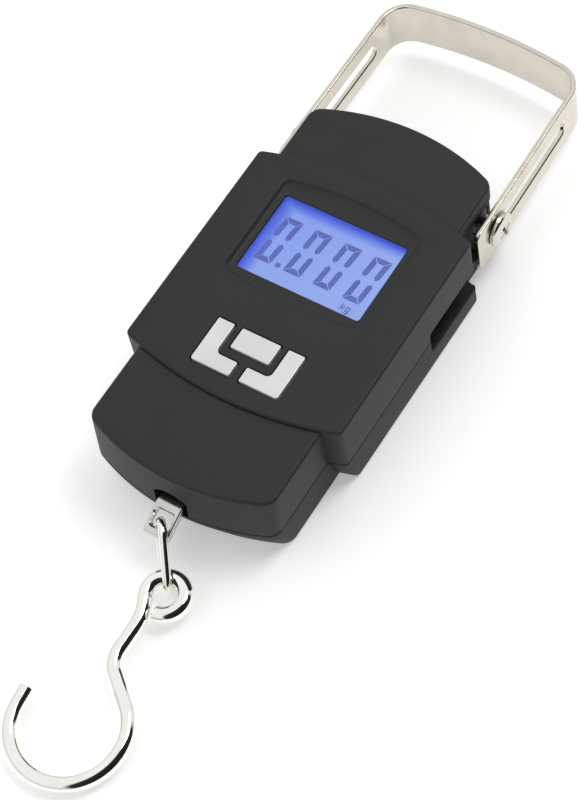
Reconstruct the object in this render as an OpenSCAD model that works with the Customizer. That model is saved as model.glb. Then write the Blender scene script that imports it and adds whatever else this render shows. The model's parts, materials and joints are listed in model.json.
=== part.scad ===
// Digital luggage scale, lying on its back: +Z leaves the front face, +Y points to the handle,
// +X is the right-hand side. The origin is the centre of the flat back face. Millimetres.

/* [Case] */
// Width of the end blocks
end_w = 57; // [54:0.5:60]
// Width of the middle block
mid_w = 67; // [65:0.5:68]
// Height of the end blocks
end_h = 27; // [26.5:0.1:27.5]
// Height of the middle block
mid_h = 28.1; // [28:0.1:28.5]
// Height of the split line above the back face
split_z = 12; // [11.8:0.1:12.3]
// Lower end of the front face on the centre line
low_end = -61.8; // [-63:0.1:-61]
// Upper end of the case on the centre line
top_end = 61.8; // [61:0.1:62.2]
// Lower corner of the middle block
mid_low = -30.5; // [-32:0.5:-30]
// Upper corner of the middle block
mid_top = 36.3; // [36:0.1:37]

/* [Display] */
// Width of the display window
window_w = 38.2; // [37:0.2:39]
// Height of the display window
window_h = 25.5; // [25:0.1:26]
// Height of one digit
digit_h = 14.4; // [12:0.2:15]

/* [Keys] */
// Width of a key's upright limb
key_limb = 5.1; // [4.5:0.1:5.5]
// Gap between a key and the case
key_gap = 0.35; // [0.25:0.05:0.45]

/* [Handle] */
// Thickness of the handle strip
strip_t = 1.5; // [1.2:0.1:1.6]
// Width of the handle strip
strip_w = 15.5; // [15:0.1:15.6]
// Inward lean of each arm
arm_lean = 0.8; // [0.5:0.1:1]
// Length of the slot in each arm
slot_l = 40.5; // [38:0.5:41]
// Width of the slot in each arm
slot_w = 5; // [4.9:0.1:5.4]

/* [Hook] */
// Wire of the hook
hook_wire = 4.6; // [4.2:0.1:4.7]
// Radius of the hook's bowl, at the middle of the wire
bowl_r = 15.3; // [15:0.1:17]
// Wire of the link
link_wire = 2.4; // [2.2:0.1:2.4]

/* [Hidden] */
$fn = 96;
load_z = 14;
far = 200;

// half widths and walls of the case
end_x = end_w / 2;
mid_x = mid_w / 2;
cavity_x = 24.5;
wall = 2.2;
end_cavity_z = end_h - wall;
mid_cavity_z = mid_h - 2.5;
low_r = 67.6;
top_r = 67.6;
mid_r = 108;
mid_sag = 5;
// slopes of the lower end: out to the split line, back in below it, and at the middle block's step
front_tilt = 5;
back_tilt = 24;
step_tilt = 20;
low_split = low_end - (end_h - split_z) * tan(front_tilt);
slope_z = split_z - 1.5;

// channels for the handle's arms
pocket_x0 = 27;
pocket_x1 = 32.3;
pocket_y0 = 7.5;
pocket_z0 = load_z - strip_w / 2 - 0.25;
pocket_z1 = load_z + strip_w / 2 + 0.25;
lip_y0 = 12.7;
lip_z0 = 7;
lip_z1 = 15.2;
flank_x = 26.3;

// handle
screw_y = 51.3;
arm_x = 31;
arm_y0 = 41;
slot_y0 = screw_y - slot_w / 2;
corner_r = 8;
bar_r = 150;
bar_y = 104 - bar_r;
screw_head_x = 32;
// the parts of the strip lap each other a little
lap = 0.05;
// unit vectors along the right arm and into the loop
arm_u = [-sin(arm_lean), cos(arm_lean)];
arm_n = [-cos(arm_lean), -sin(arm_lean)];
arm_p = [arm_x, screw_y];
// centre of the corner: it touches the arm's line and the bar's arc
corner_q = arm_p + corner_r * arm_n - [0, bar_y];
corner_b = corner_q[0] * arm_u[0] + corner_q[1] * arm_u[1];
corner_s = corner_q[0] * corner_q[0] + corner_q[1] * corner_q[1];
corner_t = -corner_b + sqrt(corner_b * corner_b - corner_s + pow(bar_r - corner_r, 2));
corner_c = arm_p + corner_t * arm_u + corner_r * arm_n;
corner_a = atan2(corner_c[1] - bar_y, corner_c[0]);

// display and keys
window_y = 14.4;
pane_margin = 1.7;
bezel_x = 21.7;
bezel_low = -3.2;
bezel_top = 33.4;
bezel_r = 95;
pane_z = 25.6;
pane_t = 0.95;
lcd_z = 23.2;
lcd_t = 2;
board_z = 19.9;
board_t = 1.2;
board_top = board_z + board_t;
board_x = 22;
board_y0 = -30;
board_y1 = 33;
digit_w = 5.3;
digit_pitch = 9.3;
digits_x = -16.5;
digits_y = 6.75;
stroke = 1.3;
key_x = 13.5;
key_low = -29.1;
key_top = -14.9;
key_arm = 4.6;
key_gap_x = 1.5;
centre_key = [12, 6.5];
key_z = 28.5;
key_flange_z = 24.7;
key_flange_t = 0.7;
key_rim = 0.9;

// load path
bracket_t = 2.6;
bracket_half = 3.9;
bend_y = -63.4;
bracket_bend = 24;
tab_l = 7.4;
tab_root = 1.2;
bend_swell = 0.06;
eye_half = 2.8;
bracket_top = -24.2;
cell_x = 10.5;
cell_y0 = -34;
cell_y1 = 14;
cell_t = 9;
cell_z = load_z - cell_t / 2;
low_pin_y = -29;
top_pin_y = 9;
pin_r = 2;
tongue_t = 2.6;
fork_t = 3;
yoke_x = 23.5;
yoke_half = 4;
spool_x = 26.2;
spool_r = 3.9;
notch_x = 4.9;
notch_rise = 5.2;

// batteries
battery_r = 5.25;
battery_l = 44.5;
battery_x = 17.65;
battery_z = 7.8;
bay_y = 27.5;
rib_x = 10.9;
rib_t = 1.2;
rib_z0 = 2.4;
rib_z1 = 11.8;
door_y0 = -29.4;
door_y1 = 27.9;
door_x = 23.7;
door_t = 1.8;
door_z = 0.2;
hinge_r = door_t / 2;
label_x = 15;
label_y0 = -50;
label_y1 = -37;
fit_gap = 0.3;

// screws
case_screw_x = 19.5;
case_screw_low = -47;
case_screw_top = 41;
board_screw_x = 19.6;
board_screws_y = [-24, -4.6];

// link and hook: limb is where the link hangs on the bracket's bar, grip is where the hook's eye
// meets the link
link_x = 1.4;
link_r = 3.8;
limb = [link_x, bend_y - tab_l * cos(bracket_bend), load_z - tab_l * sin(bracket_bend)];
grip = [6.3, -77.67, 5];
reach = grip - limb;
reach_flat = sqrt(reach[0] * reach[0] + reach[1] * reach[1]);
link_l = sqrt(reach_flat * reach_flat + reach[2] * reach[2]);
link_yaw = atan2(reach[1], reach[0]);
link_pitch = -atan2(reach[2], reach_flat);
link_roll = -14;
eye_r = 5.33;
eye_entry = 208.5;
eye_sweep = 297;
neck_r = 17;
neck_turn = 29.3;
shank_l = 6.4;
elbow_r = 8.1;
elbow_turn = 51.9;
bowl_turn = 227;
slope_l = 8.8;
tip_l = 4.9;
entry_l = 0.95;
wire_lap = 0.08;
bend_thin = 0.01;
hook_pitch = 2.2;

// ---------- helpers ----------

module box_between(low, high) {
    translate(low) cube([high[0] - low[0], high[1] - low[1], high[2] - low[2]]);
}

module both_sides() {
    children();
    mirror([1, 0, 0]) children();
}

// round wire along a list of points
module wire(points, r, facets = 24) {
    for (p = points) translate(p) sphere(r, $fn = facets);
    for (i = [0 : len(points) - 2]) {
        d = points[i + 1] - points[i];
        flat = sqrt(d[0] * d[0] + d[1] * d[1]);
        translate(points[i]) rotate([0, atan2(flat, d[2]), atan2(d[1], d[0])])
            cylinder(r = r, h = sqrt(flat * flat + d[2] * d[2]), $fn = facets);
    }
}

// ---------- case ----------

// everything above the arch of the lower end, with the arch's centre at the origin
module above_low_arch(inset = 0) {
    circle(low_r - inset, $fn = 240);
    translate([-low_r, 0]) square([2 * low_r, far]);
}

// outline of the narrow body with arched ends, drawn in by a wall thickness
module end_outline(inset = 0) {
    intersection() {
        translate([-end_x + inset, low_split])
            square([2 * (end_x - inset), top_end - low_split]);
        translate([0, low_split + low_r]) above_low_arch(inset);
        translate([0, top_end - top_r]) circle(top_r - inset, $fn = 240);
    }
}

// outline of the raised middle block, with arched upper and lower edges
module mid_outline() {
    intersection() {
        translate([-mid_x, mid_low - mid_sag])
            square([mid_w, mid_top - mid_low + 2 * mid_sag]);
        translate([0, mid_low - mid_sag + mid_r]) circle(mid_r, $fn = 240);
        translate([0, mid_top + mid_sag - mid_r]) circle(mid_r, $fn = 240);
    }
}

module cavity_outline() {
    intersection() {
        end_outline(wall);
        square([2 * cavity_x, far], center = true);
    }
}

// pockets behind the lips, and the flanks where the arms pass the upper block
module arm_channels() {
    both_sides() {
        box_between([pocket_x0, pocket_y0, pocket_z0], [pocket_x1, mid_top + mid_sag, pocket_z1]);
        box_between([pocket_x0, lip_y0, lip_z0], [mid_x + 1, mid_top + mid_sag, lip_z1]);
        box_between([flank_x, mid_top + 0.5, pocket_z0], [mid_x + 1, top_end + 1, pocket_z1]);
        translate([cavity_x - 1, screw_y, load_z]) rotate([0, 90, 0]) cylinder(r = 4.3, h = 4);
    }
}

module case_screw_places() {
    for (x = [-case_screw_x, case_screw_x], y = [case_screw_low, case_screw_top])
        translate([x, y, 0]) children();
}

module board_screw_places() {
    for (x = [-board_screw_x, board_screw_x], y = board_screws_y)
        translate([x, y, 0]) children();
}

// dished recess around the display, with arched upper and lower edges
module bezel_recess() {
    translate([0, 0, mid_h - 1.1]) linear_extrude(2) intersection() {
        translate([-bezel_x, bezel_low]) square([2 * bezel_x, bezel_top - bezel_low]);
        translate([0, bezel_low + bezel_r]) circle(bezel_r);
        translate([0, bezel_top - bezel_r]) circle(bezel_r);
    }
}

module key_left_outline(grow = 0) {
    translate([-key_x - grow, key_low - grow])
        square([key_limb + 2 * grow, key_top - key_low + 2 * grow]);
    translate([-key_x - grow, key_low - grow])
        square([key_x - key_gap_x + 2 * grow, key_arm + 2 * grow]);
}

// an outer key's flange, cut back so that it clears the centre key's
module key_flange_outline() {
    difference() {
        key_left_outline(key_rim);
        key_centre_outline(key_rim + 0.4);
        translate([-0.35, key_low - 5]) square([5, 20]);
    }
}

module key_centre_outline(grow = 0) {
    translate([-centre_key[0] / 2 - grow, key_top - centre_key[1] - grow])
        square([centre_key[0] + 2 * grow, centre_key[1] + 2 * grow]);
}

module key_openings() {
    translate([0, 0, mid_cavity_z - 1]) linear_extrude(5) {
        key_left_outline(key_gap);
        mirror([1, 0]) key_left_outline(key_gap);
        key_centre_outline(key_gap);
    }
}

// opening in the lower end wall, arched at its top
module bracket_notch() {
    notch_r = 6.97;
    notch_low = notch_r - sqrt(notch_r * notch_r - notch_x * notch_x);
    translate([0, -53, load_z + 0.6]) rotate([90, 0, 0]) linear_extrude(12) {
        intersection() {
            translate([0, notch_rise - notch_r]) circle(notch_r);
            translate([-notch_x, -1]) square([2 * notch_x, notch_rise + 1]);
        }
        translate([-notch_x, split_z - load_z - 1.6])
            square([2 * notch_x, load_z - split_z + 1.7 + notch_rise - notch_low]);
    }
}

// the lower end of the front casing leans out towards the split line
module above_front_arch(inset = 0) {
    translate([0, low_end + inset + low_r / cos(front_tilt), end_h])
        rotate([-front_tilt, 0, 0]) translate([0, 0, -far / 2]) linear_extrude(far)
            above_low_arch();
}

module front_cover() {
    color([0.27, 0.275, 0.28]) {
        difference() {
            intersection() {
                union() {
                    translate([0, 0, split_z]) linear_extrude(end_h - split_z) end_outline();
                    translate([0, 0, split_z]) linear_extrude(mid_h - split_z) mid_outline();
                }
                above_front_arch();
            }
            intersection() {
                translate([0, 0, split_z - 1]) linear_extrude(end_cavity_z - split_z + 1)
                    cavity_outline();
                above_front_arch(wall);
            }
            box_between([-cavity_x, mid_low - 1, split_z - 1], [cavity_x, mid_top, mid_cavity_z]);
            arm_channels();
            bezel_recess();
            translate([0, window_y, mid_cavity_z - 1]) linear_extrude(5)
                square([window_w, window_h], center = true);
            translate([0, window_y, mid_cavity_z - 1]) linear_extrude(2)
                square([window_w + 2 * pane_margin, window_h + 2 * pane_margin], center = true);
            key_openings();
            bracket_notch();
        }
        difference() {
            case_screw_places() translate([0, 0, split_z + 0.1])
                cylinder(r = 3.3, h = end_cavity_z - split_z);
            case_screw_places() translate([0, 0, split_z - 1]) cylinder(r = 1.35, h = 10);
        }
        difference() {
            board_screw_places() translate([0, 0, board_top])
                cylinder(r = 2.2, h = mid_cavity_z - board_top + 0.1);
            board_screw_places() translate([0, 0, board_top - 1]) cylinder(r = 1.05, h = 4);
        }
    }
}

// the lower end of the rear casing draws in towards the back
module above_sloped_arch(inset = 0) {
    translate([0, low_split + inset + low_r / cos(back_tilt), slope_z])
        rotate([back_tilt, 0, 0]) translate([0, 0, -far / 2]) linear_extrude(far) above_low_arch();
}

module rear_solid() {
    intersection() {
        union() {
            linear_extrude(split_z - 0.15) end_outline();
            intersection() {
                linear_extrude(split_z - 0.15) mid_outline();
                translate([0, mid_low - mid_sag + mid_r / cos(step_tilt), slope_z])
                    rotate([step_tilt, 0, 0]) cylinder(r = mid_r, h = far, center = true, $fn = 240);
            }
        }
        above_sloped_arch();
    }
}

module rear_cover() {
    color([0.25, 0.255, 0.26]) {
        difference() {
            rear_solid();
            intersection() {
                translate([0, 0, wall]) linear_extrude(split_z) cavity_outline();
                above_sloped_arch(wall);
            }
            arm_channels();
            box_between([-door_x - fit_gap, door_y0 - fit_gap, -1],
                [door_x + fit_gap, door_y1 + fit_gap, 3]);
            case_screw_places() translate([0, 0, -1]) cylinder(r = 2.9, h = 5.6);
            box_between([-label_x - fit_gap, label_y0 - fit_gap, -1],
                [label_x + fit_gap, label_y1 + fit_gap, 0.2]);
        }
        difference() {
            case_screw_places() translate([0, 0, wall - 0.1])
                cylinder(r = 3.6, h = split_z - wall);
            case_screw_places() translate([0, 0, 1]) cylinder(r = 2.9, h = 3.6);
            case_screw_places() cylinder(r = 1.6, h = 20);
        }
        both_sides() {
            box_between([rib_x, -bay_y - 1, rib_z0], [rib_x + 1.1, bay_y + 1, rib_z1]);
            for (y = [-bay_y - rib_t, bay_y])
                box_between([rib_x + 1, y, rib_z0], [cavity_x + 0.1, y + rib_t, rib_z1]);
        }
        for (y = [door_y0 - 1.5, door_y1 + 0.4])
            box_between([-cavity_x - 0.1, y, 1], [cavity_x + 0.1, y + rib_t, 4]);
    }
}

module battery_cover() {
    color([0.25, 0.255, 0.26]) difference() {
        union() {
            box_between([-door_x, door_y0, door_z], [door_x, door_y1 - hinge_r, door_z + door_t]);
            translate([-door_x, door_y1 - hinge_r, door_z + hinge_r]) rotate([0, 90, 0])
                cylinder(r = hinge_r, h = 2 * door_x);
        }
        for (i = [0 : 4])
            box_between([-8, door_y0 + 4 + 2 * i, door_z - 1], [8, door_y0 + 5 + 2 * i, 0.6]);
    }
}

module rating_label() {
    color([0.8, 0.8, 0.8]) box_between([-label_x, label_y0, 0.03], [label_x, label_y1, 0.18]);
}

module case_screws() {
    color([0.6, 0.6, 0.62]) case_screw_places() difference() {
        union() {
            translate([0, 0, 3.05]) cylinder(r = 2.5, h = 1.5);
            translate([0, 0, 4.5]) cylinder(r = 1.3, h = 14);
        }
        translate([0, 0, 3]) linear_extrude(0.8) {
            square([0.6, 3], center = true);
            square([3, 0.6], center = true);
        }
    }
}

// ---------- display ----------

module display_window() {
    color([0.6, 0.68, 0.95, 0.5]) translate([0, window_y, pane_z]) linear_extrude(pane_t)
        square([window_w + 2 * pane_margin - 0.3, window_h + 2 * pane_margin - 0.3],
            center = true);
}

module lcd_panel() {
    color([0.5, 0.6, 0.95]) translate([0, window_y, lcd_z]) linear_extrude(lcd_t)
        square([40.4, 29], center = true);
}

// one seven-segment figure with its lower left corner at the origin
module zero_digit() {
    h = digit_h;
    w = digit_w;
    s = stroke;
    gap = 0.18;
    for (y = [0, h - s]) translate([s / 2 + gap, y]) square([w - s - 2 * gap, s]);
    for (x = [0, w - s], y = [s / 2 + gap, h / 2 + gap])
        translate([x, y]) square([s, h / 2 - s / 2 - 2 * gap]);
}

// the letter k, then the letter g, 2.6 tall, each from straight strokes
module unit_letters() {
    square([0.4, 2.6]);
    translate([0.4, 0.9]) square([0.5, 0.4]);
    translate([0.9, 0]) square([0.4, 0.9]);
    translate([0.9, 1.3]) square([0.4, 0.8]);
    translate([2, 0]) difference() {
        square([1.5, 2]);
        translate([0.4, 0.4]) square([0.7, 1.2]);
    }
    translate([3.1, -0.7]) square([0.4, 0.8]);
    translate([2, -0.9]) square([1.5, 0.4]);
}

module lcd_digits() {
    color([0.3, 0.36, 0.75]) translate([0, 0, lcd_z + lcd_t + 0.02]) linear_extrude(0.1) {
        for (i = [0 : 3]) translate([digits_x + i * digit_pitch, digits_y]) zero_digit();
        translate([digits_x + 6.6, digits_y]) square([1.4, 1.4]);
        translate([digits_x + 29.1, digits_y - 3.5]) unit_letters();
    }
}

module lcd_frame() {
    color([0.92, 0.92, 0.9]) translate([0, window_y, board_top + 0.05]) difference() {
        linear_extrude(lcd_z + lcd_t - board_top - 0.2) square([43, 31.4], center = true);
        translate([0, 0, -1]) linear_extrude(8) square([40.8, 29.4], center = true);
    }
}

module lcd_backlight() {
    color([0.85, 0.9, 1]) translate([0, window_y, board_top + 0.1])
        linear_extrude(lcd_z - board_top - 0.2) square([40, 24], center = true);
}

module connector_strips() {
    color([0.9, 0.6, 0.7]) for (y = [-13.3, 13.3])
        translate([0, window_y + y, board_top + 0.02])
            linear_extrude(lcd_z - board_top - 0.05) square([38, 1.8], center = true);
}

// ---------- circuit ----------

module circuit_board() {
    color([0.1, 0.4, 0.2]) difference() {
        box_between([-board_x, board_y0, board_z], [board_x, board_y1, board_top - 0.02]);
        board_screw_places() translate([0, 0, board_z - 1]) cylinder(r = 1.2, h = 4);
    }
}

module board_screws() {
    color([0.7, 0.7, 0.7]) board_screw_places() {
        translate([0, 0, board_z - 1.05]) cylinder(r = 1.9, h = 1);
        translate([0, 0, board_z - 0.5]) cylinder(r = 1, h = 3.6);
    }
}

module controller_chip() {
    color([0.12, 0.12, 0.12]) box_between([-5, 18.5, board_z - 1.65], [5, 28.5, board_z - 0.05]);
}

module capacitors() {
    color([0.2, 0.25, 0.5]) for (x = [-16, -11.5, 12, 16.5])
        translate([x, 30, board_z - 3.05]) cylinder(r = 1.6, h = 3);
}

module keypad_mat() {
    color([0.35, 0.36, 0.38]) {
        box_between([-15.5, -29.5, board_top], [15.5, -12.5, board_top + 1]);
        for (p = [[-10.5, -22], [0, -17.3], [10.5, -22]])
            translate([p[0], p[1], board_top + 0.9]) cylinder(r = 2.2, h = 1.7);
    }
}

module key_body() {
    translate([0, 0, key_flange_z + 0.1]) linear_extrude(key_z - key_flange_z - 0.1) children(0);
    translate([0, 0, key_flange_z]) linear_extrude(key_flange_t) children(1);
}

module key_left() {
    color([0.72, 0.73, 0.74]) key_body() {
        key_left_outline();
        key_flange_outline();
    }
}

module key_centre() {
    color([0.72, 0.73, 0.74]) key_body() {
        key_centre_outline();
        key_centre_outline(key_rim);
    }
}

module key_right() {
    color([0.72, 0.73, 0.74]) mirror([1, 0, 0]) key_body() {
        key_left_outline();
        key_flange_outline();
    }
}

// ---------- load path ----------

module load_cell() {
    color([0.78, 0.8, 0.82]) difference() {
        box_between([-cell_x, cell_y0, cell_z], [cell_x, cell_y1, cell_z + cell_t]);
        // cuts that leave an S, and the two joined bores that the gauges sit in
        box_between([-cell_x - 1, -21.8, cell_z - 1], [6, -20.2, cell_z + cell_t + 1]);
        box_between([-6, 0.2, cell_z - 1], [cell_x + 1, 1.8, cell_z + cell_t + 1]);
        for (x = [-4, 4]) translate([x, -10, cell_z - 1]) cylinder(r = 3.5, h = cell_t + 2);
        box_between([-4, -11.5, cell_z - 1], [4, -8.5, cell_z + cell_t + 1]);
        // forks and pin holes
        for (y = [cell_y0 - 1, 4]) {
            box_between([-cell_x - 1, y, load_z - fork_t / 2],
                [cell_x + 1, y + 11, load_z + fork_t / 2]);
        }
        for (y = [low_pin_y, top_pin_y])
            translate([0, y, cell_z - 1]) cylinder(r = pin_r + 0.05, h = cell_t + 2);
    }
}

module gauge_sealant() {
    color([0.93, 0.93, 0.9]) box_between([-8.5, -14.5, cell_z + cell_t + 0.02],
        [8.5, -5.5, cell_z + cell_t + 0.7]);
}

module cell_leads() {
    color([0.8, 0.15, 0.12]) for (x = [-3, -1, 1, 3])
        wire([[x, -15.1, 18.98], [x, -17.5, 18.98]], 0.4);
}

module load_pin(y) {
    translate([0, y, cell_z - 0.9]) cylinder(r = pin_r, h = cell_t + 1.2);
    translate([0, y, cell_z - 1.7]) cylinder(r = 3.2, h = 1.65);
}

module yoke_pin() {
    color([0.7, 0.7, 0.72]) load_pin(top_pin_y);
}

module bracket_pin() {
    color([0.7, 0.7, 0.72]) load_pin(low_pin_y);
}

// cross bar that takes the handle screws, with a tongue down to the load cell
module handle_yoke() {
    color([0.65, 0.66, 0.68]) difference() {
        union() {
            box_between([-yoke_x, screw_y - yoke_half, load_z - yoke_half],
                [yoke_x, screw_y + yoke_half, load_z + yoke_half]);
            translate([-spool_x, screw_y, load_z]) rotate([0, 90, 0])
                cylinder(r = spool_r, h = 2 * spool_x);
            box_between([-5, 4.2, load_z - tongue_t / 2], [5, screw_y, load_z + tongue_t / 2]);
        }
        translate([0, top_pin_y, 0]) cylinder(r = pin_r + 0.05, h = 30);
        both_sides() translate([12, screw_y, load_z]) rotate([0, 90, 0])
            cylinder(r = 1.75, h = 20);
    }
}

// end of the bracket around its eye: drawn flat, from the bend outwards
module eye_tab() {
    difference() {
        box_between([-bracket_half, -tab_l, -bracket_t / 2], [bracket_half, 0, bracket_t / 2]);
        box_between([-eye_half, -tab_l - 1, -bracket_t], [eye_half, -tab_root, bracket_t]);
    }
    translate([-bracket_half, -tab_l, 0]) rotate([0, 90, 0])
        cylinder(r = bracket_t / 2, h = 2 * bracket_half);
}

module hook_bracket() {
    color([0.72, 0.72, 0.7]) {
        difference() {
            box_between([-bracket_half, bend_y, load_z - bracket_t / 2],
                [bracket_half, bracket_top, load_z + bracket_t / 2]);
            translate([0, low_pin_y, 0]) cylinder(r = pin_r + 0.05, h = 30);
        }
        translate([-bracket_half, bend_y, load_z]) rotate([0, 90, 0])
            cylinder(r = bracket_t / 2 + bend_swell, h = 2 * bracket_half);
        translate([0, bend_y, load_z]) rotate([bracket_bend, 0, 0]) eye_tab();
    }
}

// ---------- handle ----------

// part of a ring between two angles less than a half turn apart
module ring_part(r, t, a0, a1) {
    reach_r = 2 * r;
    mid_a = (a0 + a1) / 2;
    intersection() {
        difference() {
            circle(r + t / 2, $fn = 180);
            circle(r - t / 2, $fn = 180);
        }
        polygon([[0, 0], reach_r * [cos(a0), sin(a0)], reach_r * [cos(mid_a), sin(mid_a)],
            reach_r * [cos(a1), sin(a1)]]);
    }
}

// gives a flat outline the width of the strip
module strip() {
    translate([0, 0, load_z - strip_w / 2]) linear_extrude(strip_w) children();
}

module handle() {
    arm_l = corner_t + screw_y - arm_y0 + lap;
    color([0.83, 0.81, 0.77]) difference() {
        union() {
            strip() translate([0, bar_y])
                ring_part(bar_r, strip_t, corner_a - lap, 180 - corner_a + lap);
            both_sides() {
                strip() translate(corner_c) ring_part(corner_r, strip_t, arm_lean, corner_a);
                strip() translate([arm_x, screw_y]) rotate(arm_lean)
                    translate([-strip_t / 2, arm_y0 - screw_y]) square([strip_t, arm_l]);
            }
        }
        // slots, open from side to side
        for (y = [slot_y0 + slot_w / 2, slot_y0 + slot_l - slot_w / 2])
            translate([-far / 2, y, load_z]) rotate([0, 90, 0]) cylinder(r = slot_w / 2, h = far);
        box_between([-far / 2, slot_y0 + slot_w / 2, load_z - slot_w / 2],
            [far / 2, slot_y0 + slot_l - slot_w / 2, load_z + slot_w / 2]);
        // clipped lower corners
        both_sides() for (z = [load_z - strip_w / 2, load_z + strip_w / 2])
            translate([arm_x, arm_y0, z]) rotate([45, 0, 0]) cube([6, 1.8, 1.8], center = true);
    }
}

// pan head with a cross recess, shoulder in the slot, thread in the yoke; the head is at +X
module handle_screw() {
    translate([0, screw_y, load_z]) rotate([0, 90, 0]) {
        difference() {
            union() {
                translate([0, 0, screw_head_x]) cylinder(r = 5, h = 1.3);
                translate([0, 0, screw_head_x + 1.2]) cylinder(r1 = 5, r2 = 3.2, h = 1);
            }
            translate([0, 0, screw_head_x + 1.1]) linear_extrude(2) {
                square([0.9, 4.6], center = true);
                square([4.6, 0.9], center = true);
            }
        }
        translate([0, 0, 26.3]) cylinder(r = 2.2, h = screw_head_x - 26.2);
        translate([0, 0, 15]) cylinder(r = 1.7, h = 11.4);
    }
}

module handle_screw_right() {
    color([0.75, 0.75, 0.76]) handle_screw();
}

module handle_screw_left() {
    color([0.75, 0.75, 0.76]) mirror([1, 0, 0]) handle_screw();
}

// ---------- link and hook ----------

module link() {
    color([0.85, 0.86, 0.88]) translate(limb) rotate([link_roll, link_pitch, link_yaw]) {
        for (z = [-link_r, link_r]) translate([0, 0, z]) rotate([0, 90, 0])
            cylinder(r = link_wire / 2, h = link_l);
        rotate([90, 0, 0]) rotate([0, 0, 90]) rotate_extrude(angle = 180)
            translate([link_r, 0]) circle(link_wire / 2, $fn = 32);
        translate([link_l, 0, 0]) rotate([90, 0, 0]) rotate([0, 0, -90])
            rotate_extrude(angle = 180) translate([link_r, 0]) circle(link_wire / 2, $fn = 32);
    }
}

// a bend of the hook's wire: it starts at the origin heading along -Y and turns by angle a,
// to the left of its heading when side is 1 and to the right when side is -1
module wire_bend(r, a, side) {
    translate([side * r, 0, 0]) rotate([0, 0, side > 0 ? 180 : -a])
        rotate_extrude(angle = a) translate([r, 0]) circle(hook_wire / 2 - bend_thin, $fn = 24);
}

// a straight length, which laps the bends before and after it
module wire_straight(l) {
    translate([0, wire_lap, 0]) rotate([90, 0, 0])
        cylinder(r = hook_wire / 2, h = l + 2 * wire_lap, $fn = 24);
}

// moves the children to the end of a bend
module after_bend(r, a, side) {
    translate([side * r * (1 - cos(a)), -r * sin(a), 0]) rotate([0, 0, side * a]) children();
}

module after_straight(l) {
    translate([0, -l, 0]) children();
}

module hook_bowl() {
    wire_bend(bowl_r, bowl_turn, -1);
    after_bend(bowl_r, bowl_turn, -1) wire_straight(tip_l);
}

module hook_elbow() {
    wire_bend(elbow_r, elbow_turn, 1);
    after_bend(elbow_r, elbow_turn, 1) {
        wire_straight(slope_l);
        after_straight(slope_l) hook_bowl();
    }
}

module hook_neck() {
    wire_straight(entry_l);
    after_straight(entry_l) {
        wire_bend(neck_r, neck_turn, -1);
        after_bend(neck_r, neck_turn, -1) {
            wire_straight(shank_l);
            after_straight(shank_l) hook_elbow();
        }
    }
}

module hook() {
    away = [cos(link_yaw), sin(link_yaw), 0];
    $fn = 64;
    color([0.87, 0.88, 0.9]) translate(grip) rotate([hook_pitch, 0, 0]) translate(eye_r * away) {
        rotate([0, 0, eye_entry - eye_sweep]) rotate_extrude(angle = eye_sweep)
            translate([eye_r, 0]) circle(hook_wire / 2 - bend_thin, $fn = 24);
        rotate([0, 0, eye_entry - 180]) translate([-eye_r, 0, 0]) hook_neck();
    }
}

// ---------- batteries ----------

module battery() {
    translate([0, -battery_l / 2, 0]) rotate([-90, 0, 0]) {
        cylinder(r = battery_r, h = battery_l - 1);
        cylinder(r = 1.9, h = battery_l);
    }
}

module battery_left() {
    color([0.2, 0.35, 0.6]) translate([-battery_x, 2.2, battery_z]) battery();
}

module battery_right() {
    color([0.2, 0.35, 0.6]) translate([battery_x, -2.2, battery_z]) rotate([0, 0, 180]) battery();
}

// a wound spring pressed coil to coil, opening out towards the end wall
module battery_springs() {
    color([0.8, 0.8, 0.8]) for (s = [-1, 1])
        translate([s * battery_x, s * 27.05, battery_z]) rotate([s * 90, 0, 0])
            for (i = [0 : 4]) translate([0, 0, 0.5 + 0.9 * i])
                rotate_extrude() translate([4 - 0.45 * i, 0]) circle(0.5, $fn = 24);
}

module battery_contacts() {
    color([0.82, 0.8, 0.75]) for (s = [-1, 1]) {
        translate([s * battery_x - 4.5, s > 0 ? 27.1 : -27.45, 3.2]) cube([9, 0.3, 8.2]);
        translate([s * battery_x - 4.5, s > 0 ? -27.45 : 27.1, 3.2]) cube([9, 0.3, 8.2]);
        translate([s * battery_x, s > 0 ? -27.2 : 24.5, battery_z]) rotate([-90, 0, 0])
            cylinder(r = 2, h = 2.7);
    }
}

module battery_leads() {
    color([0.75, 0.12, 0.1]) for (s = [-1, 1])
        wire([[s * 20.5, 26.6, 12.2], [s * 20.5, 26.6, 15], [s * 20.5, 26.6, 19.4]], 0.5);
}

front_cover();
rear_cover();
battery_cover();
display_window();
lcd_panel();
lcd_digits();
lcd_frame();
lcd_backlight();
connector_strips();
circuit_board();
controller_chip();
capacitors();
keypad_mat();
key_left();
key_centre();
key_right();
load_cell();
gauge_sealant();
cell_leads();
handle_yoke();
yoke_pin();
bracket_pin();
hook_bracket();
handle();
handle_screw_left();
handle_screw_right();
link();
hook();
battery_left();
battery_right();
battery_springs();
battery_contacts();
battery_leads();
case_screws();
board_screws();
rating_label();
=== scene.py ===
"""The looks of a digital luggage scale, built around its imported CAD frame.

The scale lies on its back: +Z leaves the front face, +Y points to the handle, +X is to its right.
Lengths in this file are in millimetres, and mesh_object() turns them into metres.
"""

import json
import math

import bpy
from mathutils import Matrix, Vector


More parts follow.
